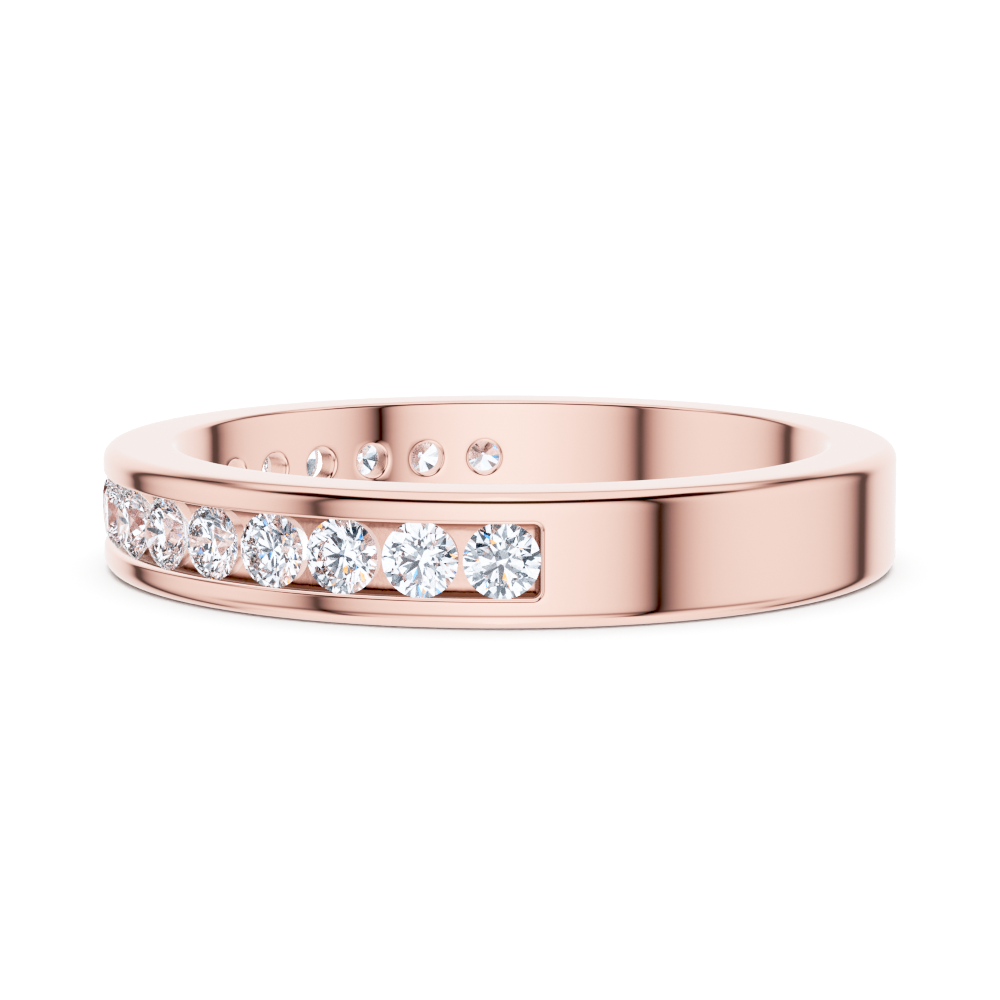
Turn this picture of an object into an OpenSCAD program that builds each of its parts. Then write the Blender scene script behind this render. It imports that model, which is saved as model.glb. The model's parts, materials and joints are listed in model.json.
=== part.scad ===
// Wedding band: a rounded band with a channel of round brilliants along one side.
// +Z runs along the finger bore and the origin is at the bore's centre at mid width.
// The row of stones is centred on -Y. The outer cylinder sits slightly towards the stones,
// so the wall is a little thicker behind them than on the plain side.

/* [Band] */
// Diameter of the finger bore
bore_d = 16.5; // [14:0.1:21]
// Width of the band along the bore
band_w = 3.15; // [2.6:0.05:5]
// Wall thickness at the middle of the row of stones
wall_stones = 1.79; // [1.5:0.01:2.5]
// Wall thickness opposite the stones
wall_plain = 1.72; // [1.2:0.01:2.5]
// Rounding of the two outer edges
outer_round = 0.38; // [0.1:0.01:0.5]
// Rounding of the two edges of the bore
inner_round = 0.13; // [0.05:0.01:0.4]

/* [Stones] */
// Diameter of each stone across its girdle
stone_d = 1.78; // [1.3:0.01:2.1]
// Gap between neighbouring girdles
stone_gap = 0.1; // [0.04:0.01:0.3]
// Height of the tables above the band's outer surface
table_proud = 0.02; // [-0.1:0.01:0.1]
// Width of the table as a share of the stone's diameter
table_share = 0.57; // [0.52:0.01:0.64]
// Angle of the crown's main facets
crown_angle = 34.5; // [30:0.1:37]
// Angle of the pavilion's main facets
pavilion_angle = 40.8; // [39:0.1:43]
// Thickness of the girdle as a share of the stone's diameter
girdle_share = 0.03; // [0.02:0.005:0.05]

/* [Channel] */
// How far each rail reaches over the edge of a stone
lip_overlap = 0.02; // [0.01:0.005:0.08]
// Rounding of the rim along the two rails
rim_round = 0.09; // [0.03:0.01:0.15]
// Rounding where the floor meets the rails
floor_round = 0.2; // [0.05:0.01:0.25]
// Depth of the floor below the tables
floor_depth = 0.595; // [0.45:0.005:0.7]
// Space round a girdle in its groove and at the end walls
seat_clearance = 0.005; // [0.002:0.001:0.02]

/* [Seats] */
// How much narrower than its stone each seat is at the floor, on the radius
seat_inset = 0.05; // [0.03:0.01:0.1]
// Space left under each culet
culet_space = 0.09; // [0.03:0.01:0.15]
// Diameter of the hole through the wall behind each stone
azure_d = 0.88; // [0.6:0.01:1]
// Width of the countersink round each hole in the bore
azure_rim = 0.1; // [0.05:0.01:0.15]

/* [Hidden] */
NODES = [
    "band", "diamond_01", "diamond_02", "diamond_03", "diamond_04", "diamond_05", "diamond_06",
    "diamond_07", "diamond_08", "diamond_09", "diamond_10", "diamond_11", "diamond_12",
    "diamond_13", "diamond_14", "diamond_15", "diamond_16", "diamond_17"
];
$fn = 96;
gold = "#e6b8a2";
ice = "#eef4f8";

// Room that a cut takes beyond the surface it opens
past = 0.5;

// Band
bore_r = bore_d / 2;
outer_r = (bore_d + wall_stones + wall_plain) / 2;
outer_y = (wall_plain - wall_stones) / 2;

// A stone, with its axis along Z and the top of its girdle at Z = 0
stone_r = stone_d / 2;
table_r = stone_r * table_share;
girdle_h = stone_d * girdle_share;
crown_h = (stone_r - table_r) * tan(crown_angle);
pavilion_h = stone_r * tan(pavilion_angle);
mains = 8;
half_steps = 2;
girdle_steps = 2 * mains * half_steps;
main_turn = 360 / mains;
half_turn = main_turn / 2;
star_share = 0.5;
lower_half_share = 0.77;
star_r = table_r * cos(half_turn) + star_share * (stone_r - table_r * cos(half_turn));
star_h = (stone_r - star_r * cos(half_turn)) * tan(crown_angle);
keel_r = stone_r * (1 - lower_half_share);
keel_h = (stone_r - keel_r * cos(half_turn)) * tan(pavilion_angle);

// Radii from the axis of the outer cylinder
table_rho = outer_r + table_proud;
girdle_rho = table_rho - crown_h;
culet_rho = girdle_rho - girdle_h - pavilion_h;
floor_rho = table_rho - floor_depth;

// Row of stones. Every node but the band is a stone.
stone_count = len(NODES) - 1;
girdle_mid = girdle_rho - girdle_h / 2;
pitch = 2 * asin((stone_d + stone_gap) / (2 * girdle_mid));
row_middle = -90;
function stone_angle(i) = row_middle + ((stone_count - 1) / 2 - i) * pitch;

// Channel
lip_half = stone_r - lip_overlap;
end_turn = asin((stone_r + seat_clearance) / girdle_mid);
channel_turn = (stone_count - 1) * pitch + 2 * end_turn;
groove_rise = 1.5 * lip_overlap;

// Distance along a stone's axis from the outer cylinder's axis to the wall of the bore
function bore_rho(a) = -outer_y * sin(a) + sqrt(pow(bore_r, 2) - pow(outer_y * cos(a), 2));

// --- Stone ---

function polar(r, a, z) = [r * cos(a), r * sin(a), z];

// Height of the girdle's scalloped edge above its corners. Each half facet is a plane that
// meets the girdle at two corners and rises by apex_h at the radius apex_r between them.
function scallop(a, apex_r, apex_h) =
    let (from_middle = a - half_turn * (floor(a / half_turn) + 0.5))
    stone_r * (cos(half_turn / 2) - cos(from_middle)) * apex_h
        / ((stone_r - apex_r) * cos(half_turn / 2));

function girdle_angle(j) = j * 360 / girdle_steps;

stone_points = concat(
    [for (k = [0 : mains - 1]) polar(table_r, k * main_turn, crown_h)],
    [for (k = [0 : mains - 1]) polar(star_r, (k + 0.5) * main_turn, star_h)],
    [for (j = [0 : girdle_steps - 1])
        polar(stone_r, girdle_angle(j), scallop(girdle_angle(j), star_r, star_h))],
    [for (j = [0 : girdle_steps - 1])
        polar(stone_r, girdle_angle(j), -girdle_h - scallop(girdle_angle(j), keel_r, keel_h))],
    [for (k = [0 : mains - 1]) polar(keel_r, (k + 0.5) * main_turn, -girdle_h - keel_h)],
    [[0, 0, -girdle_h - pavilion_h]]
);

// Place of each kind of point in that list
function table_point(k) = k % mains;
function star_point(k) = mains + (k + mains) % mains;
function upper_point(j) = 2 * mains + j % girdle_steps;
function lower_point(j) = 2 * mains + girdle_steps + j % girdle_steps;
function keel_point(k) = 2 * mains + 2 * girdle_steps + (k + mains) % mains;
culet_point = 3 * mains + 2 * girdle_steps;

stone_faces = concat(
    [[for (k = [mains - 1 : -1 : 0]) table_point(k)]],
    [for (k = [0 : mains - 1]) [table_point(k), table_point(k + 1), star_point(k)]],
    [for (k = [0 : mains - 1])
        [table_point(k), star_point(k), upper_point(2 * k * half_steps), star_point(k - 1)]],
    [for (k = [0 : mains - 1], side = [0, 1])
        concat(star_point(k),
            [for (j = [half_steps : -1 : 0]) upper_point((2 * k + side) * half_steps + j)])],
    [for (j = [0 : girdle_steps - 1])
        [upper_point(j), upper_point(j + 1), lower_point(j + 1), lower_point(j)]],
    [for (k = [0 : mains - 1], side = [0, 1])
        concat(keel_point(k),
            [for (j = [0 : half_steps]) lower_point((2 * k + side) * half_steps + j)])],
    [for (k = [0 : mains - 1])
        [culet_point, keel_point(k - 1), lower_point(2 * k * half_steps), keel_point(k)]]
);

// Turns what stands on +Z out along the radius at stone i
module at_stone(i) {
    translate([0, outer_y, 0]) rotate([0, 0, stone_angle(i)]) rotate([0, 90, 0]) children();
}

// One round brilliant in its place in the row, counted from 0
module diamond(i) {
    color(ice) at_stone(i) translate([0, 0, girdle_rho]) polyhedron(stone_points, stone_faces);
}

// --- Band ---

// The band before it is bored and cut
module blank() {
    rotate_extrude() {
        translate([0, -band_w / 2]) square([outer_r - outer_round, band_w]);
        translate([0, outer_round - band_w / 2]) square([outer_r, band_w - 2 * outer_round]);
        for (side = [-1, 1])
            translate([outer_r - outer_round, side * (band_w / 2 - outer_round)])
                circle(outer_round);
    }
}

// The finger bore with its two rounded edges
module finger_bore() {
    cylinder(h = band_w + 2 * past, r = bore_r, center = true);
    rotate_extrude()
        for (side = [0, 1])
            mirror([0, side])
                difference() {
                    translate([bore_r - past, band_w / 2 - inner_round])
                        square([past + inner_round, inner_round + past]);
                    translate([bore_r + inner_round, band_w / 2 - inner_round])
                        circle(inner_round);
                }
}

// Section of the channel: a slot with a rounded floor and rims and a groove for the girdles
module channel_section() {
    translate([floor_rho, floor_round - lip_half])
        square([table_rho + past - floor_rho, 2 * (lip_half - floor_round)]);
    translate([floor_rho + floor_round, -lip_half])
        square([table_rho + past - floor_rho - floor_round, 2 * lip_half]);
    translate([girdle_rho - girdle_h - groove_rise, -stone_r - seat_clearance])
        square([girdle_h + 2 * groove_rise, 2 * (stone_r + seat_clearance)]);
    for (side = [0, 1])
        mirror([0, side]) {
            translate([floor_rho + floor_round, lip_half - floor_round]) circle(floor_round);
            difference() {
                translate([outer_r - rim_round, 0]) square([past, lip_half + rim_round]);
                translate([outer_r - rim_round, lip_half + rim_round]) circle(rim_round);
            }
        }
}

// The channel, whose flat end walls stand against the first and the last stone
module channel() {
    rotate([0, 0, row_middle - channel_turn / 2])
        rotate_extrude(angle = channel_turn) channel_section();
}

// The hole behind stone i: a countersink in the bore, a straight hole and a seat that opens
// out to the floor of the channel
module seat(i) {
    mouth = bore_rho(stone_angle(i));
    seat_r = stone_r - seat_inset;
    azure_r = azure_d / 2;
    at_stone(i)
        rotate_extrude()
            polygon([
                [0, mouth - past],
                [azure_r + azure_rim + past, mouth - past],
                [azure_r, mouth + azure_rim],
                [azure_r, culet_rho - culet_space],
                [seat_r, floor_rho],
                [seat_r, floor_rho + floor_round],
                [0, floor_rho + floor_round]
            ]);
}

module band() {
    color(gold)
        difference() {
            translate([0, outer_y, 0]) blank();
            finger_bore();
            translate([0, outer_y, 0]) channel();
            for (i = [0 : stone_count - 1]) seat(i);
        }
}

band();
diamond(0);  // diamond_01
diamond(1);  // diamond_02
diamond(2);  // diamond_03
diamond(3);  // diamond_04
diamond(4);  // diamond_05
diamond(5);  // diamond_06
diamond(6);  // diamond_07
diamond(7);  // diamond_08
diamond(8);  // diamond_09
diamond(9);  // diamond_10
diamond(10);  // diamond_11
diamond(11);  // diamond_12
diamond(12);  // diamond_13
diamond(13);  // diamond_14
diamond(14);  // diamond_15
diamond(15);  // diamond_16
diamond(16);  // diamond_17
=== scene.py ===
# %% [markdown]
# # A channel set wedding band
# The ring is one cast band of rose gold and seventeen round brilliants that stand side by side
# in a channel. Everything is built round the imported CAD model, which is loaded first and fixes
# every size and place.

# %% Load the frame
import json
import math

import bmesh
import bpy
from mathutils import Matrix, Vector


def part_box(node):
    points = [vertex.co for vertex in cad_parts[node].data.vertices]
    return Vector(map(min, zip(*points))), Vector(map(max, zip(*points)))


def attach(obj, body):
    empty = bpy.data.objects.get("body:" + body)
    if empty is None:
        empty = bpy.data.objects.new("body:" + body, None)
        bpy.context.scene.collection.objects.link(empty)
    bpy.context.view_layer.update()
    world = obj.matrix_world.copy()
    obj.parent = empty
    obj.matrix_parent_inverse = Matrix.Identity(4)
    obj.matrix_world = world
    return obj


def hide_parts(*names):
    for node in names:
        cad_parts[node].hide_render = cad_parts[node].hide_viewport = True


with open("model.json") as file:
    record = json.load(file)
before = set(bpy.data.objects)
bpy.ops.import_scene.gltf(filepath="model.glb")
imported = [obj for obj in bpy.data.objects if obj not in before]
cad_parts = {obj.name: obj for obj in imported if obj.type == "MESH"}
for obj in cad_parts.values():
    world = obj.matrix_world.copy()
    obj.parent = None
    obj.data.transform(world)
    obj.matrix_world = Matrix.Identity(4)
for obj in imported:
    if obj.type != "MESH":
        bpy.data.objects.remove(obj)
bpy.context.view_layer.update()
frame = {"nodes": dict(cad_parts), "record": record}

# %% [markdown]
# The camera comes first. A ring is a small thing seen through a long lens from close by. The
# lens stands a little above the band's upper side, straight in front of the first stone, so that
# the row runs away round one flank and its backs show through the holes in the bore.

# %% Camera
MM = 0.001

band_low, band_high = (Vector(corner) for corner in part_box("band"))
OUTER_R = (band_high.x - band_low.x) / 2
OUTER_Y = (band_high.y + band_low.y) / 2
HALF_W = (band_high.z - band_low.z) / 2


def from_outer_axis(angle, rho, z):
    """The point at an angle in degrees and a distance from the axis of the outer cylinder."""
    a = math.radians(angle)
    return Vector((rho * math.cos(a), OUTER_Y + rho * math.sin(a), z))


# Where the camera stands, from the middle of the band: the direction round it and the rise, both
# in degrees, and the distance.
CAMERA_ANGLE = -1.61
CAMERA_RISE = 8.19
CAMERA_DISTANCE = 92.95 * MM
LENS = 131.7
SENSOR_WIDTH = 36.0


def make_camera():
    rise = math.radians(CAMERA_RISE)
    place = from_outer_axis(
        CAMERA_ANGLE, CAMERA_DISTANCE * math.cos(rise), CAMERA_DISTANCE * math.sin(rise)
    )
    camera_data = bpy.data.cameras.new("camera")
    camera_data.lens = LENS
    camera_data.sensor_width = SENSOR_WIDTH
    camera_data.clip_start = 1 * MM
    camera = bpy.data.objects.new("camera", camera_data)
    camera.location = place
    look = from_outer_axis(0, 0, 0) - place
    camera.rotation_euler = look.to_track_quat("-Z", "Y").to_euler()
    bpy.context.collection.objects.link(camera)
    bpy.context.scene.camera = camera
    return camera


camera = make_camera()
print("camera", [round(v / MM, 1) for v in camera.location], "mm")

# %% [markdown]
# The sizes below are the ones that the CAD model was made from, in metres. The band is described
# round the axis of its outer cylinder, by an angle, a distance from that axis and a height. The
# stones are set by their girdles, the widest line, where the two rails of the channel hold them.

# %% Sizes of the band
mounts = {mount["name"]: mount for mount in frame["record"]["mounts"]}
BORE_R = mounts["finger_bore"]["dims"]["r_mm"] * MM
OUTER_ROUND = 0.38 * MM
INNER_ROUND = 0.13 * MM

# The channel: how far each rail reaches over a stone, the roundings and the depth of the floor
LIP_OVERLAP = 0.02 * MM
RIM_ROUND = 0.09 * MM
CORNER_ROUND = 0.2 * MM
FLOOR_ROUND = 0.2 * MM
FLOOR_DEPTH = 0.595 * MM

# The seats: the space round and under a stone, and the azure, which is the hole behind it
SEAT_CLEARANCE = 0.005 * MM
SEAT_INSET = 0.05 * MM
CULET_SPACE = 0.09 * MM
AZURE_R = 0.44 * MM
AZURE_RIM = 0.1 * MM

# %% Sizes of the stones
STONES = sorted(name for name in frame["nodes"] if name.startswith("diamond_"))
STONE_R = 0.89 * MM
STONE_GAP = 0.1 * MM
TABLE_PROUD = 0.02 * MM
TABLE_SHARE = 0.57
CROWN_ANGLE = math.radians(34.5)
PAVILION_ANGLE = math.radians(40.8)
GIRDLE_H = 0.03 * 2 * STONE_R

CROWN_H = STONE_R * (1 - TABLE_SHARE) * math.tan(CROWN_ANGLE)
PAVILION_H = STONE_R * math.tan(PAVILION_ANGLE)
TABLE_RHO = OUTER_R + TABLE_PROUD
GIRDLE_RHO = TABLE_RHO - CROWN_H
GIRDLE_MID = GIRDLE_RHO - GIRDLE_H / 2
CULET_RHO = GIRDLE_RHO - GIRDLE_H - PAVILION_H
FLOOR_RHO = TABLE_RHO - FLOOR_DEPTH
PITCH = 2 * math.degrees(math.asin((STONE_R + STONE_GAP / 2) / GIRDLE_MID))
ROW_MIDDLE = -90.0


def stone_angle(i):
    """The angle of stone i round the band, in degrees, counted from 0."""
    return ROW_MIDDLE + ((len(STONES) - 1) / 2 - i) * PITCH


print(len(STONES), "stones,", round(PITCH, 3), "degrees apart")

# %% [markdown]
# Polished metal shows every fault of the mesh under it, because a mirror bends its reflections
# with the surface. So the band is not cut with booleans, which leave long thin faces. It is laid
# out in patches of even quads, each a grid of points whose edges meet the next patch point for
# point, and then the doubles are merged. Each stone has a cell of its own, in which the quads
# turn from the straight rails to the round seat.

# %% Helpers for patches
CELL = 20
HALF_CELL = CELL // 2
CORNER_STEPS = 6


class Patches:
    """Collects grids of points as quads, and joins them into one mesh."""

    def __init__(self):
        self.points = []
        self.faces = []

    def grid(self, rows, closed=False):
        """Adds the quads between rows of points. A closed grid joins each row's two ends."""
        start = len(self.points)
        width = len(rows[0])
        for row in rows:
            self.points.extend(row)
        last = width if closed else width - 1
        for r in range(len(rows) - 1):
            for c in range(last):
                here = start + r * width
                after = (c + 1) % width
                self.faces.append(
                    (here + c, here + after, here + width + after, here + width + c)
                )

    def mesh(self, name, merge):
        """One mesh with its doubles merged and its faces turned outwards."""
        bm = bmesh.new()
        verts = [bm.verts.new(p) for p in self.points]
        for face in self.faces:
            bm.faces.new([verts[i] for i in face])
        bmesh.ops.remove_doubles(bm, verts=bm.verts, dist=merge)
        bmesh.ops.recalc_face_normals(bm, faces=bm.faces)
        open_edges = sum(1 for e in bm.edges if not e.is_manifold)
        for face in bm.faces:
            face.smooth = True
        mesh = bpy.data.meshes.new(name)
        bm.to_mesh(mesh)
        bm.free()
        print(name, len(mesh.polygons), "faces,", open_edges, "open edges")
        return mesh


def steps(start, end, count):
    """Evenly spaced numbers from start to end, both included."""
    return [start + (end - start) * k / count for k in range(count + 1)]


def quarter_turn(count):
    """Pairs of sine and versine along a quarter circle, for a rounding in this many steps."""
    turns = [math.pi / 2 * k / count for k in range(count + 1)]
    return [(math.sin(t), 1 - math.cos(t)) for t in turns]


# %% [markdown]
# The grid lines that run across the band have to serve every patch, from the outer face to the
# bore, or the patches would not meet. They go by the stones, twenty to a cell. The two cells at
# the ends are stretched, so that they take in the channel's end wall and its corner, and the
# plain part of the band is divided evenly.

# %% Angles of the grid lines round the band
LIP = STONE_R - LIP_OVERLAP
END_TURN = math.degrees(math.asin((STONE_R + SEAT_CLEARANCE) / GIRDLE_MID))
CORNER_TURN = math.degrees(CORNER_ROUND / OUTER_R)
# From the middle of the last stone to the outer side of its cell, in degrees
END_REACH = 8.3
PLAIN_STEPS = 280


def half_cell(end):
    """Grid angles from a stone's middle to one side of its cell, without the middle."""
    if not end:
        return steps(0, PITCH / 2, HALF_CELL)[1:]
    straight = HALF_CELL - CORNER_STEPS
    along_rail = steps(0, END_TURN - CORNER_TURN, straight)[1:]
    return along_rail + steps(END_TURN - CORNER_TURN, END_REACH, CORNER_STEPS)[1:]


def cell_angles(i):
    """Grid angles across the cell of stone i, from its low side to its high side."""
    middle = stone_angle(i)
    low = half_cell(end=i == len(STONES) - 1)
    high = half_cell(end=i == 0)
    return [middle - a for a in reversed(low)] + [middle] + [middle + a for a in high]


ROW_LOW = cell_angles(len(STONES) - 1)[0]
ROW_HIGH = cell_angles(0)[-1]
plain_angles = steps(ROW_HIGH, ROW_LOW + 360, PLAIN_STEPS)
row_angles = []
for i in reversed(range(len(STONES))):
    row_angles += cell_angles(i)[:-1]
all_angles = row_angles + plain_angles[:-1]
print(len(all_angles), "grid lines round the band")

# %% [markdown]
# A quarter is the path from the end of a cell, at mid width, up and round to the top of the
# stone's middle line. The channel's outline, the seats' cells and the area round the channel are
# all put together from quarters, so they always have the same number of points.

# %% Quarters of a cell
# Two angles that differ by less than this, in degrees, are the same grid line.
SAME_LINE = 1e-6


def turn_of(length):
    """The turn round the band, in degrees, that a short length takes up at the girdles."""
    return math.degrees(length / GIRDLE_MID)


def square_quarter(side_heights, top_turns):
    """Up the side of a cell and back along its top to the stone's middle."""
    side = top_turns[-1]
    top = side_heights[-1]
    return [(side, z) for z in side_heights] + [(t, top) for t in reversed(top_turns[:-1])]


def end_quarter(offset):
    """Along the channel's end wall and round its corner, offset outwards."""
    radius = CORNER_ROUND + offset
    side = END_TURN + turn_of(offset)
    corner_z = LIP - CORNER_ROUND
    corner_turn = side - turn_of(radius)
    straight = HALF_CELL - CORNER_STEPS
    path = [(side, z) for z in steps(0, corner_z, straight)]
    for bend in steps(0, math.pi / 2, 2 * CORNER_STEPS)[1:]:
        turn = corner_turn + turn_of(radius) * math.cos(bend)
        path.append((turn, corner_z + radius * math.sin(bend)))
    return path + [(t, LIP + offset) for t in reversed(steps(0, corner_turn, straight)[:-1])]


def round_row(quarter):
    """A closed path round the whole row, whose two ends are made of this quarter."""
    top = quarter[-1][1]
    high, low = stone_angle(0), stone_angle(len(STONES) - 1)
    between = [a for a in row_angles if low + SAME_LINE < a < high - SAME_LINE]
    path = [(high + t, z) for t, z in quarter]
    path += [(a, top) for a in reversed(between)]
    path += [(low - t, z) for t, z in reversed(quarter)]
    path += [(low - t, -z) for t, z in quarter[1:]]
    path += [(a, -top) for a in between]
    path += [(high + t, -z) for t, z in reversed(quarter[1:])]
    return path


def round_cell(i, quarter, last_quarter):
    """A closed path round the cell of stone i. The channel's ends take the last quarter."""
    middle = stone_angle(i)
    high = last_quarter if i == 0 else quarter
    low = last_quarter if i == len(STONES) - 1 else quarter
    path = [(middle + t, z) for t, z in high]
    path += [(middle - t, z) for t, z in reversed(low[:-1])]
    path += [(middle - t, -z) for t, z in low[1:]]
    path += [(middle + t, -z) for t, z in reversed(high[1:-1])]
    return path


def blend_paths(first, second, share):
    """The path that lies this share of the way from the first path to the second."""
    return [
        (a + (c - a) * share, z + (w - z) * share) for (a, z), (c, w) in zip(first, second)
    ]


# %% [markdown]
# The channel is swept down from its rim: a small rounding, the rail's inner face with the groove
# that grips the girdles, and a concave corner to the floor. Round it lies the flat of the outer
# face, and beyond its ends the plain part of the band.

# %% Rim, rails and outer face
patches = Patches()

FLAT_Z = HALF_W - OUTER_ROUND
RIM_STEPS = 6
WALL_STEPS = 2
FLAT_STEPS = 4
GROOVE_RISE = 1.5 * LIP_OVERLAP
GROOVE_DEPTH = LIP_OVERLAP + SEAT_CLEARANCE


def rail_section():
    """Offset from the lip and distance from the axis, down from the rim to the floor's corner."""
    rim = [(RIM_ROUND * (1 - s), OUTER_R - RIM_ROUND * v) for s, v in quarter_turn(RIM_STEPS)]
    groove_top = GIRDLE_RHO + GROOVE_RISE
    groove_foot = GIRDLE_RHO - GIRDLE_H - GROOVE_RISE
    wall = [(0, rho) for rho in steps(OUTER_R - RIM_ROUND, groove_top, WALL_STEPS)[1:]]
    groove = [(GROOVE_DEPTH, groove_top), (GROOVE_DEPTH, groove_foot), (0, groove_foot)]
    return rim + wall + groove + [(0, FLOOR_RHO + FLOOR_ROUND)]


def path_row(path, rho):
    """The points of a path at one distance from the axis."""
    return [from_outer_axis(a, rho, z) for a, z in path]


patches.grid(
    [path_row(round_row(end_quarter(offset)), rho) for offset, rho in rail_section()],
    closed=True,
)

end_turns = [0.0] + half_cell(end=True)
rim_path = round_row(end_quarter(RIM_ROUND))
flat_path = round_row(square_quarter(steps(0, FLAT_Z, HALF_CELL), end_turns))
patches.grid(
    [path_row(blend_paths(rim_path, flat_path, k), OUTER_R) for k in steps(0, 1, FLAT_STEPS)],
    closed=True,
)
patches.grid(
    [[from_outer_axis(a, OUTER_R, z) for a in plain_angles] for z in steps(-FLAT_Z, FLAT_Z, CELL)]
)

# %% [markdown]
# The two sides of the band carry on from the outer face: a generous rounding, a flat face and a
# small rounding into the bore. The bore's axis lies a little off the outer cylinder's, so its
# distance is worked out for each angle.

# %% Sides and bore
OUTER_STEPS = 10
FACE_STEPS = 4
INNER_STEPS = 5
BORE_EDGE_STEPS = 3
# Half the width of the belt in the bore that holds the holes
BORE_CELL_Z = 0.8 * MM


def bore_rho(angle):
    """Distance from the outer cylinder's axis to the bore's wall."""
    a = math.radians(angle)
    return -OUTER_Y * math.sin(a) + math.sqrt(BORE_R**2 - (OUTER_Y * math.cos(a)) ** 2)


def side_section():
    """Share of the way from the outer edge to the bore's edge, with what each falls short by."""
    outer = [
        (0, OUTER_ROUND * v, 0, FLAT_Z + OUTER_ROUND * s) for s, v in quarter_turn(OUTER_STEPS)
    ]
    face = [(k, OUTER_ROUND, INNER_ROUND, HALF_W) for k in steps(0, 1, FACE_STEPS)[1:-1]]
    inner = [
        (1, 0, INNER_ROUND * (1 - s), HALF_W - INNER_ROUND * v)
        for s, v in quarter_turn(INNER_STEPS)
    ]
    return outer + face + inner


def side_row(share, drop, rise, z):
    """A row of points round one side of the band, from one entry of that section."""
    row = []
    for a in all_angles:
        outer, inner = OUTER_R - drop, bore_rho(a) + rise
        row.append(from_outer_axis(a, outer + (inner - outer) * share, z))
    return row


for side in (1, -1):
    patches.grid([side_row(k, d, r, side * z) for k, d, r, z in side_section()], closed=True)
    bore_rows = steps(HALF_W - INNER_ROUND, BORE_CELL_Z, BORE_EDGE_STEPS)
    patches.grid([side_row(1, 0, 0, side * z) for z in bore_rows], closed=True)
patches.grid(
    [
        [from_outer_axis(a, bore_rho(a), z) for a in plain_angles]
        for z in steps(-BORE_CELL_Z, BORE_CELL_Z, CELL)
    ]
)

# %% [markdown]
# Behind each stone the wall is drilled through. The hole lets light in behind the stone and is
# countersunk and polished where it meets the finger. Inside, a bur has opened it out to a cone,
# so that the stone's point hangs free, and the cone runs out on the floor of the channel.

# %% Seats and holes
SEAT_R = STONE_R - SEAT_INSET
AZURE_TOP = CULET_RHO - CULET_SPACE
# The cone stops a little below the floor and leaves a short straight wall.
CONE_TOP = FLOOR_RHO - 0.03 * MM
ROW_REACH = (len(STONES) - 1) / 2 * PITCH + END_TURN
CIRCLE = [2 * math.pi * k / (4 * CELL) for k in range(4 * CELL)]
MOUTH_STEPS = 4
AROUND_MOUTH_STEPS = 4
AROUND_SEAT_STEPS = 5
FLOOR_EDGE_STEPS = 4


def floor_rho(angle, z):
    """Distance of the channel's floor from the axis, with its concave edge."""
    along = math.radians(ROW_REACH - abs(angle - ROW_MIDDLE)) * GIRDLE_MID
    across = LIP - abs(z)
    if along < CORNER_ROUND and across < CORNER_ROUND:
        inset = CORNER_ROUND - math.hypot(CORNER_ROUND - along, CORNER_ROUND - across)
    else:
        inset = min(along, across)
    short = min(max(FLOOR_ROUND - inset, 0), FLOOR_ROUND)
    return FLOOR_RHO + FLOOR_ROUND - math.sqrt(FLOOR_ROUND**2 - short**2)


def circle_path(i, radius, surface):
    """Where a round hole of this radius at stone i meets a surface: its angles and heights."""
    middle = stone_angle(i)
    path = []
    for bend in CIRCLE:
        across, z = radius * math.cos(bend), radius * math.sin(bend)
        rho = surface(middle + math.degrees(across / FLOOR_RHO), z)
        path.append((middle + math.degrees(math.asin(across / rho)), z))
    return path


def surface_row(path, surface):
    """The points of a path on a surface, which gives its distance from the axis."""
    return [from_outer_axis(a, surface(a, z), z) for a, z in path]


def bore_surface(angle, z):
    """The bore as a surface. Its distance from the axis is the same at every height."""
    return bore_rho(angle)


def hole_row(i, radius, depths):
    """A circle about the stone's axis, each point at its own distance from the band's axis."""
    turn = Matrix.Rotation(math.radians(stone_angle(i)), 4, "Z")
    row = []
    for bend, depth in zip(CIRCLE, depths):
        point = turn @ Vector((depth, radius * math.cos(bend), radius * math.sin(bend)))
        row.append(point + Vector((0, OUTER_Y, 0)))
    return row


bore_quarter = square_quarter(
    steps(0, BORE_CELL_Z, HALF_CELL), steps(0, PITCH / 2, HALF_CELL)
)
bore_end_quarter = square_quarter(steps(0, BORE_CELL_Z, HALF_CELL), end_turns)
floor_heights = steps(0, LIP - FLOOR_ROUND, HALF_CELL - FLOOR_EDGE_STEPS)
floor_heights += [
    LIP - FLOOR_ROUND + FLOOR_ROUND * s for s, v in quarter_turn(FLOOR_EDGE_STEPS)[1:]
]
floor_quarter = square_quarter(floor_heights, steps(0, PITCH / 2, HALF_CELL))

for i in range(len(STONES)):
    mouth_r = AZURE_R + AZURE_RIM
    mouth = circle_path(i, mouth_r, bore_surface)
    around = round_cell(i, bore_quarter, bore_end_quarter)
    patches.grid(
        [
            surface_row(blend_paths(around, mouth, k), bore_surface)
            for k in steps(0, 1, AROUND_MOUTH_STEPS)
        ],
        closed=True,
    )
    middle = stone_angle(i)
    mouth_depths = [bore_rho(a) * math.cos(math.radians(a - middle)) for a, z in mouth]
    rows = [
        hole_row(i, mouth_r - AZURE_RIM * s, [d + AZURE_RIM * v for d in mouth_depths])
        for s, v in quarter_turn(MOUTH_STEPS)
    ]
    rows.append(hole_row(i, AZURE_R, [AZURE_TOP] * len(CIRCLE)))
    rows.append(hole_row(i, SEAT_R, [CONE_TOP] * len(CIRCLE)))
    seat_path = circle_path(i, SEAT_R, floor_rho)
    rows.append(surface_row(seat_path, floor_rho))
    patches.grid(rows, closed=True)
    lip_path = round_cell(i, floor_quarter, end_quarter(0))
    patches.grid(
        [
            surface_row(blend_paths(lip_path, seat_path, k * k), floor_rho)
            for k in steps(0, 1, AROUND_SEAT_STEPS)
        ],
        closed=True,
    )

# Points nearer to each other than this are one point.
MERGE_DISTANCE = 2e-7
band_mesh = patches.mesh("cast_band", merge=MERGE_DISTANCE)

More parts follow.
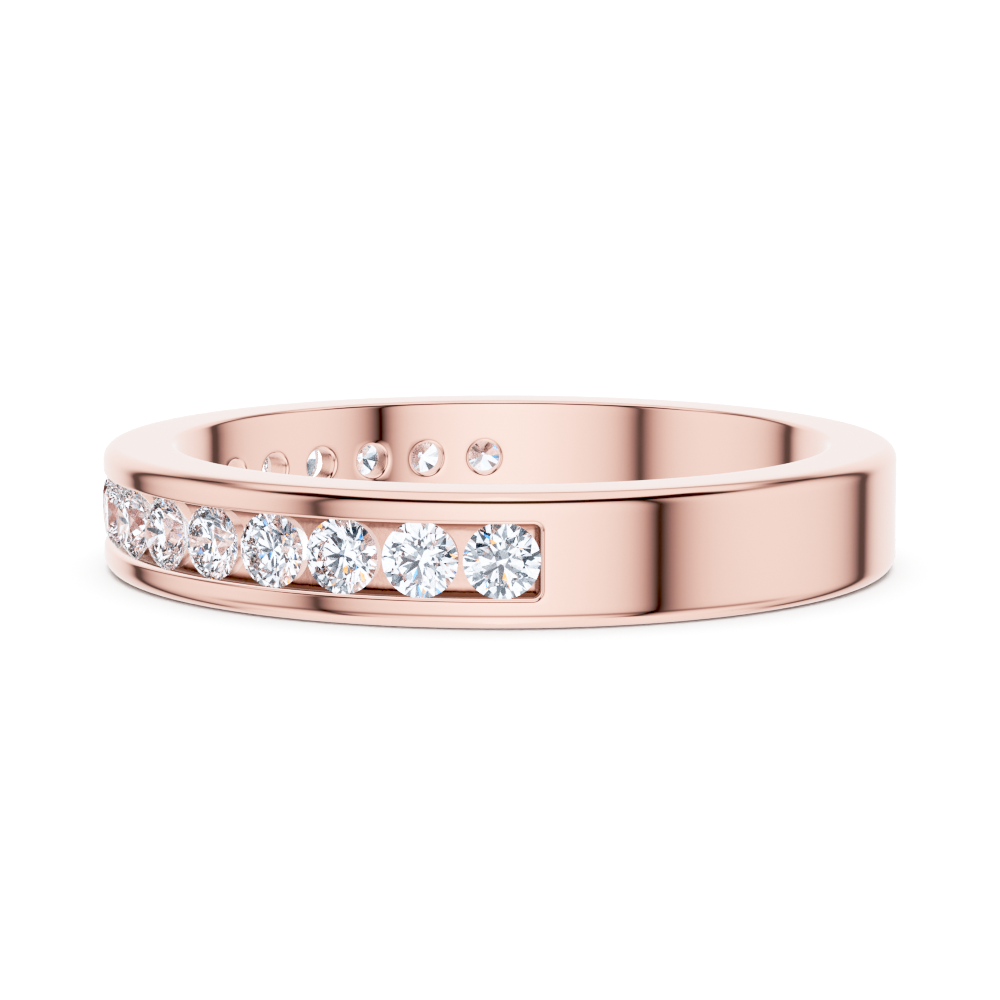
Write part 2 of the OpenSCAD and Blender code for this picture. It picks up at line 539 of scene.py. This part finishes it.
# %% [markdown]
# A smooth normal is an average of the faces round a point, so a narrow rounding would tilt the
# normals of the wide flat beside it and smear the reflections. The Weighted Normal modifier lets
# the large faces decide, and the edges of the groove and the seats stay sharp.

# %% The cast band
# Edges that turn by more than this, in degrees, stay sharp.
SHARP_TURN = 35


def plain_copy(source, name):
    """The object as its modifiers leave it, as a new object with a plain mesh."""
    bpy.context.view_layer.update()
    evaluated = source.evaluated_get(bpy.context.evaluated_depsgraph_get())
    mesh = bpy.data.meshes.new_from_object(evaluated)
    mesh.name = name
    piece = bpy.data.objects.new(name, mesh)
    bpy.context.collection.objects.link(piece)
    return piece


band_mesh.set_sharp_from_angle(angle=math.radians(SHARP_TURN))
band_raw = bpy.data.objects.new("band_raw", band_mesh)
bpy.context.collection.objects.link(band_raw)
weighted = band_raw.modifiers.new("weighted", "WEIGHTED_NORMAL")
weighted.keep_sharp = True
cast_band = plain_copy(band_raw, "cast_band")
bpy.data.objects.remove(band_raw)
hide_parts("band")
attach(cast_band, "root")

# %% [markdown]
# A round brilliant has 57 facets. On the crown a table, 8 star facets, 8 kite shaped mains and
# 16 half facets; below the girdle 16 more halves and 8 mains that meet in the point. The halves
# are flat, so where they cut the round girdle they leave its edge scalloped. A cutter sets the
# angles, and every corner of the mesh follows from them. The facets stay flat shaded, and only
# the girdle is smooth.

# %% One round brilliant
MAINS = 8
HALF_STEPS = 4
GIRDLE_STEPS = 2 * MAINS * HALF_STEPS
MAIN_TURN = 2 * math.pi / MAINS
HALF_TURN = MAIN_TURN / 2
STAR_SHARE = 0.5
LOWER_HALF_SHARE = 0.77
# Keeps an angle that falls on a corner from being rounded down to the corner before it
ROUND_OFF = 1e-9


def scallop(angle, apex_r, apex_h):
    """How far the girdle's edge lies above its corners, where a half facet cuts it."""
    from_middle = angle - HALF_TURN * (math.floor(angle / HALF_TURN + ROUND_OFF) + 0.5)
    slope = apex_h / ((STONE_R - apex_r) * math.cos(HALF_TURN / 2))
    return STONE_R * (math.cos(HALF_TURN / 2) - math.cos(from_middle)) * slope


def brilliant_mesh():
    """A brilliant with its axis along Z and the top of its girdle at height 0."""
    bm = bmesh.new()

    def ring(count, radius, height, shift=0.0):
        """Points round the axis. The height is a number or a function of the angle."""
        points = []
        for k in range(count):
            a = (k + shift) * 2 * math.pi / count
            z = height(a) if callable(height) else height
            points.append(bm.verts.new((radius * math.cos(a), radius * math.sin(a), z)))
        return points

    table_r = STONE_R * TABLE_SHARE
    inner = table_r * math.cos(HALF_TURN)
    star_r = inner + STAR_SHARE * (STONE_R - inner)
    star_h = (STONE_R - star_r * math.cos(HALF_TURN)) * math.tan(CROWN_ANGLE)
    keel_r = STONE_R * (1 - LOWER_HALF_SHARE)
    keel_h = (STONE_R - keel_r * math.cos(HALF_TURN)) * math.tan(PAVILION_ANGLE)

    table = ring(MAINS, table_r, CROWN_H)
    star = ring(MAINS, star_r, star_h, 0.5)
    upper = ring(GIRDLE_STEPS, STONE_R, lambda a: scallop(a, star_r, star_h))
    lower = ring(GIRDLE_STEPS, STONE_R, lambda a: -GIRDLE_H - scallop(a, keel_r, keel_h))
    keel = ring(MAINS, keel_r, -GIRDLE_H - keel_h, 0.5)
    culet = bm.verts.new((0, 0, -GIRDLE_H - PAVILION_H))

    bm.faces.new(table)
    for k in range(MAINS):
        corner = 2 * k * HALF_STEPS
        bm.faces.new((table[k], star[k], table[(k + 1) % MAINS]))
        bm.faces.new((table[k], star[k - 1], upper[corner], star[k]))
        bm.faces.new((culet, keel[k], lower[corner], keel[k - 1]))
        for half in (0, 1):
            first = corner + half * HALF_STEPS
            arc = [(first + j) % GIRDLE_STEPS for j in range(HALF_STEPS + 1)]
            bm.faces.new([star[k]] + [upper[j] for j in arc])
            bm.faces.new([keel[k]] + [lower[j] for j in reversed(arc)])
    facets = len(bm.faces)
    for j in range(GIRDLE_STEPS):
        after = (j + 1) % GIRDLE_STEPS
        face = bm.faces.new((upper[j], lower[j], lower[after], upper[after]))
        face.smooth = True
    bmesh.ops.recalc_face_normals(bm, faces=bm.faces)
    mesh = bpy.data.meshes.new("brilliant")
    bm.to_mesh(mesh)
    bm.free()
    print("brilliant:", facets, "facets and a girdle of", GIRDLE_STEPS, "faces")
    return mesh


stone_mesh = brilliant_mesh()

# %% [markdown]
# The row repeats one stone along a circle, which is a task for Geometry Nodes. The tree takes a
# stone, turns it about its own axis, stands it out along the radius and swings it round the band
# to its place. A setter drops the stones in as they come, so each has a turn of its own. The
# turns are random values with a fixed seed. Each stone is then made a plain mesh of its own,
# because on the bench it is a piece of its own.

# %% Geometry Nodes tree for a set stone
TURN_SEED = 3


def new_socket(tree, name, kind, default=None):
    """A named input of the tree, with the value that it has unless another is given."""
    socket = tree.interface.new_socket(name=name, in_out="INPUT", socket_type=kind)
    if default is not None:
        socket.default_value = default


def set_stone_tree():
    """The tree that turns a stone about its own axis and swings it to its place in the row."""
    tree = bpy.data.node_groups.new("set_stone", "GeometryNodeTree")
    new_socket(tree, "Stone", "NodeSocketObject")
    new_socket(tree, "Place", "NodeSocketFloat", 0.0)
    new_socket(tree, "Pitch", "NodeSocketFloat", math.radians(PITCH))
    new_socket(tree, "Middle", "NodeSocketFloat", math.radians(ROW_MIDDLE))
    new_socket(tree, "Girdle distance", "NodeSocketFloat", GIRDLE_RHO)
    new_socket(tree, "Axis offset", "NodeSocketFloat", OUTER_Y)
    new_socket(tree, "Seed", "NodeSocketInt", TURN_SEED)
    new_socket(tree, "Material", "NodeSocketMaterial")
    tree.interface.new_socket(
        name="Geometry", in_out="OUTPUT", socket_type="NodeSocketGeometry"
    )
    nodes, links = tree.nodes, tree.links
    given = nodes.new("NodeGroupInput")
    result = nodes.new("NodeGroupOutput")

    def combine(x=None, y=None, z=None):
        """A vector with one or more of its numbers from sockets."""
        node = nodes.new("ShaderNodeCombineXYZ")
        for name, source in (("X", x), ("Y", y), ("Z", z)):
            if source is not None:
                links.new(source, node.inputs[name])
        return node

    def transform(geometry, translation=None, rotation=None):
        """Moves or turns a shape by a vector from combine."""
        node = nodes.new("GeometryNodeTransform")
        links.new(geometry, node.inputs["Geometry"])
        if translation is not None:
            links.new(translation.outputs[0], node.inputs["Translation"])
        if rotation is not None:
            links.new(rotation.outputs[0], node.inputs["Rotation"])
        return node

    stone = nodes.new("GeometryNodeObjectInfo")
    links.new(given.outputs["Stone"], stone.inputs["Object"])

    chance = nodes.new("FunctionNodeRandomValue")
    chance.data_type = "FLOAT"
    chance.inputs["Min"].default_value = 0.0
    chance.inputs["Max"].default_value = MAIN_TURN
    links.new(given.outputs["Place"], chance.inputs["ID"])
    links.new(given.outputs["Seed"], chance.inputs["Seed"])
    own_turn = combine(z=chance.outputs["Value"])
    turned = transform(stone.outputs["Geometry"], rotation=own_turn)

    outwards = nodes.new("GeometryNodeTransform")
    links.new(turned.outputs[0], outwards.inputs["Geometry"])
    outwards.inputs["Rotation"].default_value = (0, math.pi / 2, 0)
    placed = transform(
        outwards.outputs[0], translation=combine(x=given.outputs["Girdle distance"])
    )

    swing = nodes.new("ShaderNodeMath")
    swing.operation = "MULTIPLY_ADD"
    links.new(given.outputs["Place"], swing.inputs[0])
    links.new(given.outputs["Pitch"], swing.inputs[1])
    links.new(given.outputs["Middle"], swing.inputs[2])
    swung = transform(
        placed.outputs[0],
        translation=combine(y=given.outputs["Axis offset"]),
        rotation=combine(z=swing.outputs[0]),
    )
    real = nodes.new("GeometryNodeRealizeInstances")
    links.new(swung.outputs[0], real.inputs[0])
    finish = nodes.new("GeometryNodeSetMaterial")
    links.new(real.outputs[0], finish.inputs["Geometry"])
    links.new(given.outputs["Material"], finish.inputs["Material"])
    links.new(finish.outputs[0], result.inputs[0])
    return tree


stone_tree = set_stone_tree()

# %% [markdown]
# A finish is a small network of nodes. Written out one by one, a formula of ten steps fills a
# page, so each helper below adds one node, joins it up and gives back its output, and a formula
# then reads like one.

# %% Helpers for shader nodes


def node_math(tree, operation, *values):
    """A Math node whose inputs are sockets or numbers. Gives its output."""
    node = tree.nodes.new("ShaderNodeMath")
    node.operation = operation
    for socket, value in zip(node.inputs, values):
        if isinstance(value, (int, float)):
            socket.default_value = value
        else:
            tree.links.new(value, socket)
    return node.outputs[0]


def node_ramp(tree, value, start, end, low=0.0, high=1.0):
    """A smooth step of a value from start to end. Gives its output."""
    node = tree.nodes.new("ShaderNodeMapRange")
    node.interpolation_type = "SMOOTHSTEP"
    for name, number in (
        ("From Min", start), ("From Max", end), ("To Min", low), ("To Max", high),
    ):
        node.inputs[name].default_value = number
    tree.links.new(value, node.inputs["Value"])
    return node.outputs["Result"]


def node_noise(tree, vector, scale, detail=2.0):
    """A soft random pattern with this many bumps to the metre, or so. Gives its output."""
    node = tree.nodes.new("ShaderNodeTexNoise")
    node.inputs["Scale"].default_value = scale
    node.inputs["Detail"].default_value = detail
    tree.links.new(vector, node.inputs["Vector"])
    return node.outputs[0]


def node_mix(tree, factor, first, second):
    """A mix of two colours, each a socket or three numbers. Gives its output."""
    node = tree.nodes.new("ShaderNodeMix")
    node.data_type = "RGBA"
    tree.links.new(factor, node.inputs["Factor"])
    sockets = [socket for socket in node.inputs if socket.type == "RGBA"]
    for socket, value in zip(sockets, (first, second)):
        if isinstance(value, tuple):
            socket.default_value = (*value, 1)
        else:
            tree.links.new(value, socket)
    return next(socket for socket in node.outputs if socket.type == "RGBA")


def new_material(name):
    """A material with nothing in it yet. Gives it and its shader node."""
    material = bpy.data.materials.new(name)
    material.use_nodes = True
    return material, material.node_tree.nodes["Principled BSDF"]


# %% [markdown]
# Rose gold is gold with copper, so its mirror is pink. A polished ring is not a perfect mirror:
# the buffing wheel leaves faint marks, which only show as a slight softening of the reflections.
# The roughness therefore wanders a little, and inside the channel, where no wheel can reach, the
# cast skin stays dull and a little grainy. Along the rails and at the two ends of the channel the
# gold is painted darker, as painted shade for the dark reflections in those recesses. The channel
# is found by the distance from the axis and from the band's mid width.

# %% Rose gold
GOLD = (0.93, 0.66, 0.6)
# The colour of the painted shade along the channel's rails and at its two ends
GOLD_IN_PAINTED_SHADE = (0.34, 0.19, 0.15)
POLISHED_ROUGHNESS = (0.035, 0.075)
CAST_ROUGHNESS = 0.22
# Where the painted shade along a rail begins and where it is darkest, as a distance in from the
# rail in roundings of the floor
PAINTED_SHADE_REACH = (1.3, 0.2)
# Most of a noise lies between these values.
NOISE_RANGE = (0.3, 0.7)
# How fine each pattern is, as the scale of its noise
WEAR_SCALE = 350
MARKS_SCALE = 700
GRAIN_SCALE = 9000
# How much higher the grain of the cast skin stands than the marks of the wheel
GRAIN_SHARE = 6.0
MARKS_DEPTH = 0.0008 * MM


def rose_gold():
    """Polished outside and in the bore, left as cast in the channel, with painted shade in its
    corners.
    """
    material, shader = new_material("rose_gold")
    tree = material.node_tree
    place = tree.nodes.new("ShaderNodeTexCoord").outputs["Object"]
    shader.inputs["Metallic"].default_value = 1.0

    split = tree.nodes.new("ShaderNodeSeparateXYZ")
    tree.links.new(place, split.inputs[0])
    y = node_math(tree, "SUBTRACT", split.outputs["Y"], OUTER_Y)
    x_squared = node_math(tree, "MULTIPLY", split.outputs["X"], split.outputs["X"])
    y_squared = node_math(tree, "MULTIPLY", y, y)
    rho = node_math(tree, "SQRT", node_math(tree, "ADD", x_squared, y_squared))
    past_bore = node_ramp(tree, rho, BORE_R + AZURE_RIM, BORE_R + 2 * AZURE_RIM)
    under_rim = node_ramp(tree, rho, OUTER_R - 4 * RIM_ROUND, OUTER_R - 2 * RIM_ROUND, 1, 0)
    height = node_math(tree, "ABSOLUTE", split.outputs["Z"])
    between_rails = node_ramp(tree, height, LIP + GROOVE_DEPTH, LIP + 2 * GROOVE_DEPTH, 1, 0)
    unpolished = node_math(
        tree, "MULTIPLY", node_math(tree, "MULTIPLY", past_bore, under_rim), between_rails
    )

    # Painted shade: the gold is darkened along the rails and at the two ends of the channel.
    shade_by_rail = node_ramp(tree, height, *(LIP - share * FLOOR_ROUND for share in PAINTED_SHADE_REACH))
    towards_middle = node_math(tree, "DIVIDE", node_math(tree, "MULTIPLY", y, -1.0), rho)
    shade_by_end = node_ramp(
        tree, towards_middle,
        math.cos(math.radians(ROW_REACH)), math.cos(math.radians(ROW_REACH - CORNER_TURN)), 1, 0,
    )
    corners = node_math(tree, "MULTIPLY", node_math(tree, "MAXIMUM", shade_by_rail, shade_by_end), unpolished)
    colour = node_mix(tree, corners, GOLD, GOLD_IN_PAINTED_SHADE)
    tree.links.new(colour, shader.inputs["Base Color"])

    wear = node_noise(tree, place, WEAR_SCALE)
    polish = node_ramp(tree, wear, *NOISE_RANGE, *POLISHED_ROUGHNESS)
    rough = node_math(tree, "MULTIPLY_ADD", unpolished, CAST_ROUGHNESS, polish)
    tree.links.new(rough, shader.inputs["Roughness"])

    grain = node_noise(tree, place, GRAIN_SCALE, detail=3.0)
    marks = node_noise(tree, place, MARKS_SCALE, detail=1.0)
    cast_skin = node_math(tree, "MULTIPLY", grain, unpolished)
    relief = node_math(tree, "MULTIPLY_ADD", cast_skin, GRAIN_SHARE, marks)
    bump = tree.nodes.new("ShaderNodeBump")
    bump.inputs["Strength"].default_value = 1.0
    bump.inputs["Distance"].default_value = MARKS_DEPTH
    tree.links.new(relief, bump.inputs["Height"])
    tree.links.new(bump.outputs[0], shader.inputs["Normal"])
    return material


cast_band.data.materials.clear()
cast_band.data.materials.append(rose_gold())

# %% [markdown]
# Diamond bends light more than any other clear stone, with an index of 2.42, so most of what
# enters the table is thrown back out of it by the pavilion. A glass finish with that index does
# the same in the render. The facets are polished to a mirror. Light goes round inside a stone
# many times before it leaves, so the scene allows it more bounces than usual. The backs of the
# stones are left out of the mirror of the bore, where they would only look like specks of dirt.

# %% Diamond
DIAMOND_IOR = 2.417
# Rays on their first bounce have a depth of 1, and on their second a depth of 2.
PAST_FIRST_BOUNCE = 1.5


def diamond():
    """Clear stone that the metal does not show on a ray's first bounce."""
    material, shader = new_material("diamond")
    tree = material.node_tree
    shader.inputs["Base Color"].default_value = (1, 1, 1, 1)
    shader.inputs["Roughness"].default_value = 0.0
    shader.inputs["IOR"].default_value = DIAMOND_IOR
    shader.inputs["Transmission Weight"].default_value = 1.0

    paths = tree.nodes.new("ShaderNodeLightPath")
    first_bounce = node_math(tree, "LESS_THAN", paths.outputs["Ray Depth"], PAST_FIRST_BOUNCE)
    mirrored = node_math(tree, "MULTIPLY", paths.outputs["Is Reflection Ray"], first_bounce)
    seen = node_math(tree, "SUBTRACT", 1.0, mirrored)
    tree.links.new(seen, shader.inputs["Alpha"])
    return material


# How often light may be thrown back inside a stone
INNER_BOUNCES = 20
light_paths = bpy.context.scene.cycles
light_paths.max_bounces = 2 * INNER_BOUNCES
light_paths.glossy_bounces = INNER_BOUNCES
light_paths.transmission_bounces = INNER_BOUNCES
light_paths.transparent_max_bounces = 2 * INNER_BOUNCES

diamond_finish = diamond()

# %% [markdown]
# A modifier's inputs go by identifiers that Blender hands out itself, so the helper below finds
# the one that belongs to a name. Each stone is made in a holder, an empty object that has only the
# modifier. What comes out is copied as a plain mesh, and the holder and the pattern stone are
# thrown away.

# %% Seventeen stones in their places


def socket_id(tree, name):
    """The identifier of the tree's input with this name."""
    for item in tree.interface.items_tree:
        if item.item_type == "SOCKET" and item.in_out == "INPUT" and item.name == name:
            return item.identifier
    raise KeyError(name)


pattern = bpy.data.objects.new("stone_pattern", stone_mesh)
bpy.context.collection.objects.link(pattern)
brilliants = []
for i, node in enumerate(STONES):
    holder = bpy.data.objects.new("stone_holder", bpy.data.meshes.new("stone_holder"))
    bpy.context.collection.objects.link(holder)
    setting = holder.modifiers.new("setting", "NODES")
    setting.node_group = stone_tree
    setting[socket_id(stone_tree, "Stone")] = pattern
    setting[socket_id(stone_tree, "Place")] = (len(STONES) - 1) / 2 - i
    setting[socket_id(stone_tree, "Material")] = diamond_finish
    stone = plain_copy(holder, node.replace("diamond", "brilliant"))
    bpy.data.objects.remove(holder)
    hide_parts(node)
    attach(stone, "root")
    brilliants.append(stone)
bpy.data.objects.remove(pattern)
print(len(brilliants), "brilliants set")

# %% [markdown]
# The ring lies on a white sheet. The sheet is left out of the reflections, as when a ring is shot
# on clear glass above it, and so is the band itself: light that has met the metal twice would turn
# the whole bore orange.

# %% Floor
FLOOR_Z = -HALF_W
FLOOR_REACH = 4.0
# Grey in itself, and white under the bright panels
SHEET_GREY = 0.45
SHEET_ROUGHNESS = 0.9


def make_floor():
    """A wide sheet under the ring, which no mirror and no stone shows."""
    bm = bmesh.new()
    bmesh.ops.create_grid(bm, x_segments=1, y_segments=1, size=FLOOR_REACH)
    bmesh.ops.translate(bm, verts=bm.verts, vec=(0, 0, FLOOR_Z))
    mesh = bpy.data.meshes.new("floor")
    bm.to_mesh(mesh)
    bm.free()
    floor = bpy.data.objects.new("floor", mesh)
    bpy.context.collection.objects.link(floor)
    material, shader = new_material("white_sheet")
    shader.inputs["Base Color"].default_value = (SHEET_GREY, SHEET_GREY, SHEET_GREY, 1)
    shader.inputs["Roughness"].default_value = SHEET_ROUGHNESS
    mesh.materials.append(material)
    floor.visible_glossy = False
    floor.visible_transmission = False


make_floor()
cast_band.visible_glossy = False
print("floor at", round(FLOOR_Z / MM, 3), "mm")

# %% [markdown]
# Jewellery is lit by large soft panels, because a mirror shows nothing but what stands round it.
# The white surroundings are broken by narrow dark gaps between the panels, and these give the
# metal its dark lines. A gap is darkest along its middle and fades out to both sides.

# %% Gaps between the panels
# Each gap is given by the direction of its middle, half the width of its dark part, how dark that
# is, and how far it takes to fade to about a third, on its low side and on its high side. All but
# the third are in degrees. Upright gaps go by the turn round the ring from the camera, and level
# ones by the height above the horizon.
UPRIGHT_GAPS = (
    (45.3, 0.3, 0.85, 5.3, 7.5),
    (127.0, 1.5, 0.74, 9.0, 5.0),
    (-52.7, 0.5, 0.73, 7.0, 7.0),
    (-127.0, 1.5, 0.74, 5.0, 9.0),
)
FRONT_LEVEL_GAPS = ((49.0, 7.5, 0.85, 4.5, 2.0), (-25.0, 2.5, 0.45, 5.0, 5.0))
BACK_LEVEL_GAPS = ((41.0, 3.0, 0.42, 4.0, 4.0), (-35.0, 12.0, 0.14, 12.0, 12.0))


def gap(tree, angle, middle, half, depth, low_fade, high_fade):
    """How dark a gap between two panels is, by the angle."""
    past = node_math(tree, "SUBTRACT", angle, math.radians(middle))
    above = node_math(tree, "SUBTRACT", past, math.radians(half))
    above = node_math(tree, "MAXIMUM", above, 0.0)
    above = node_math(tree, "DIVIDE", above, math.radians(high_fade))
    below = node_math(tree, "ADD", past, math.radians(half))
    below = node_math(tree, "MINIMUM", below, 0.0)
    below = node_math(tree, "DIVIDE", below, math.radians(low_fade))
    fall = node_math(tree, "EXPONENT", node_math(tree, "SUBTRACT", below, above))
    return node_math(tree, "MULTIPLY", fall, depth)


def dimmed(tree, light, gaps, share=1.0):
    """The light with gaps taken out of it, each by this share of its depth."""
    for dark in gaps:
        left = node_math(tree, "SUBTRACT", 1.0, node_math(tree, "MULTIPLY", dark, share))
        light = node_math(tree, "MULTIPLY", light, left)
    return light


# %% [markdown]
# The metal shows the panels. They are a little brighter behind the camera. The upright gaps end
# well short of straight overhead and straight below, because they would all run together there
# and put a dark line on every level edge. The level gaps in front of the ring differ from those
# behind it.

# %% Light for the metal
# Heights between which an upright gap ends, in degrees
GAP_END = (40, 52)
# Brightness of the panels behind the camera and to the side, and where the side begins
GLOW = (1.12, 0.95)
GLOW_TURN = 40
# Turns from the camera between which the level gaps change from front to back
SIDE_TURN = (80, 100)


def metal_light(tree, azimuth, level):
    """Brightness of the panels that the metal mirrors, by direction."""
    upright = dimmed(tree, 1.0, [gap(tree, azimuth, *sizes) for sizes in UPRIGHT_GAPS])
    height = node_math(tree, "ABSOLUTE", level)
    steep = node_ramp(tree, height, *(math.radians(a) for a in GAP_END))
    upright = node_math(tree, "MAXIMUM", upright, steep)
    off_front = node_math(tree, "ABSOLUTE", azimuth)
    glow = node_ramp(tree, off_front, 0, math.radians(GLOW_TURN), *GLOW)
    light = node_math(tree, "MULTIPLY", upright, glow)
    behind = node_ramp(tree, off_front, *(math.radians(a) for a in SIDE_TURN))
    before = node_math(tree, "SUBTRACT", 1.0, behind)
    light = dimmed(tree, light, [gap(tree, level, *sizes) for sizes in FRONT_LEVEL_GAPS], before)
    return dimmed(tree, light, [gap(tree, level, *sizes) for sizes in BACK_LEVEL_GAPS], behind)


# %% [markdown]
# A brilliant throws back light from all over the room, so between even panels it would be plain
# white. A studio sets small bright and dark cards round it. Here the cells of a Voronoi pattern
# are the cards, and the lens is a darker spot among them. A second, finer pattern picks out a few
# small flecks of orange and blue, which stand for the stone's fire.

# %% Light for the stones
CARD_SCALE = 3.2
CARD_EDGES = (0.15, 0.6)
DARK_CARD = (0.07, 0.1, 0.13)
BRIGHT_CARD = (1.17, 1.25, 1.36)
# Where the dark spot of the lens begins and where it is darkest, in degrees from the lens, and
# how bright the cards are in it
LENS_SPOT = (15, 10)
LENS_SHADE = 0.3
FLECK_SCALE = 17.0
# The share of the fine cells that stay plain
PLAIN_SHARE = 0.965
ORANGE_FLECK = (1.4, 0.6, 0.25)
BLUE_FLECK = (0.25, 0.65, 1.5)


def node_cells(tree, vector, scale):
    """Cells with straight edges. Gives two random numbers for each."""
    cells = tree.nodes.new("ShaderNodeTexVoronoi")
    cells.inputs["Scale"].default_value = scale
    tree.links.new(vector, cells.inputs["Vector"])
    split = tree.nodes.new("ShaderNodeSeparateColor")
    tree.links.new(cells.outputs["Color"], split.inputs[0])
    return split.outputs[0], split.outputs[1]


def gem_light(tree, direction):
    """Colour of the small bright and dark cards that the stones throw back, by direction."""
    rise, front = math.radians(CAMERA_RISE), math.radians(CAMERA_ANGLE)
    towards = tree.nodes.new("ShaderNodeVectorMath")
    towards.operation = "DOT_PRODUCT"
    tree.links.new(direction, towards.inputs[0])
    towards.inputs[1].default_value = (
        math.cos(rise) * math.cos(front), math.cos(rise) * math.sin(front), math.sin(rise),
    )
    lens_edges = (math.cos(math.radians(a)) for a in LENS_SPOT)
    off_lens = node_ramp(tree, towards.outputs["Value"], *lens_edges, 1, LENS_SHADE)
    chance, _ = node_cells(tree, direction, CARD_SCALE)
    cards = node_ramp(tree, chance, *CARD_EDGES)
    sparkle = node_math(tree, "MULTIPLY", cards, off_lens)
    plain = node_mix(tree, sparkle, DARK_CARD, BRIGHT_CARD)
    fire_chance, side = node_cells(tree, direction, FLECK_SCALE)
    fire = node_math(tree, "GREATER_THAN", fire_chance, PLAIN_SHARE)
    blue = node_math(tree, "GREATER_THAN", side, 0.5)
    fire_colour = node_mix(tree, blue, ORANGE_FLECK, BLUE_FLECK)
    return node_mix(tree, fire, plain, fire_colour)


# %% [markdown]
# The world can tell what kind of ray asks for its light. A ray that comes out of a stone gets the
# cards, and every other ray gets the panels. Diffuse rays light the sheet, and they get the panels
# several times as bright, so that the sheet comes out white while the mirrors stay as they are.

# %% The whole surroundings
FLOOD = 5.8


def make_world():
    """Surroundings that differ by direction and by the kind of ray."""
    world = bpy.data.worlds.new("studio")
    bpy.context.scene.world = world
    world.use_nodes = True
    tree = world.node_tree
    tree.nodes.clear()
    direction = tree.nodes.new("ShaderNodeTexCoord").outputs["Generated"]
    split = tree.nodes.new("ShaderNodeSeparateXYZ")
    tree.links.new(direction, split.inputs[0])
    x, y, z = split.outputs
    azimuth = node_math(
        tree, "SUBTRACT", node_math(tree, "ARCTAN2", y, x), math.radians(CAMERA_ANGLE)
    )
    level = node_math(tree, "ARCSINE", z)

    paths = tree.nodes.new("ShaderNodeLightPath")
    flood = node_ramp(tree, paths.outputs["Is Diffuse Ray"], 0, 1, 1.0, FLOOD)
    panels = node_math(tree, "MULTIPLY", metal_light(tree, azimuth, level), flood)
    grey = tree.nodes.new("ShaderNodeCombineColor")
    for socket in grey.inputs:
        tree.links.new(panels, socket)
    seen = node_mix(
        tree, paths.outputs["Is Transmission Ray"], grey.outputs[0], gem_light(tree, direction)
    )
    background = tree.nodes.new("ShaderNodeBackground")
    tree.links.new(seen, background.inputs["Color"])
    output = tree.nodes.new("ShaderNodeOutputWorld")
    tree.links.new(background.outputs[0], output.inputs["Surface"])


make_world()
print(len(UPRIGHT_GAPS), "upright gaps between the panels")

# %% [markdown]
# The picture is finished with a little more contrast than a plain view gives, as a studio would
# print it: the darkest tenth goes to black and the whites close up softly.

# %% Print
# Brightness in the scene and brightness in the picture
PRINT_CURVE = (
    (0.1, 0.0), (0.27, 0.16), (0.42, 0.4), (0.61, 0.68), (0.84, 0.885), (1.0, 0.96), (1.15, 1.0),
)
# The curve for all colours comes after those for red, green and blue.
COMBINED = 3


def print_contrast():
    """Sets the curve that the view puts on all three colours at once."""
    view = bpy.context.scene.view_settings
    view.view_transform = "Standard"
    view.use_curve_mapping = True
    mapping = view.curve_mapping
    mapping.clip_max_x = PRINT_CURVE[-1][0]
    mapping.use_clip = False
    curve = mapping.curves[COMBINED]
    for point, place in zip(curve.points[:2], (PRINT_CURVE[0], PRINT_CURVE[-1])):
        point.location = place
    for place in PRINT_CURVE[1:-1]:
        curve.points.new(*place)
    mapping.update()


print_contrast()
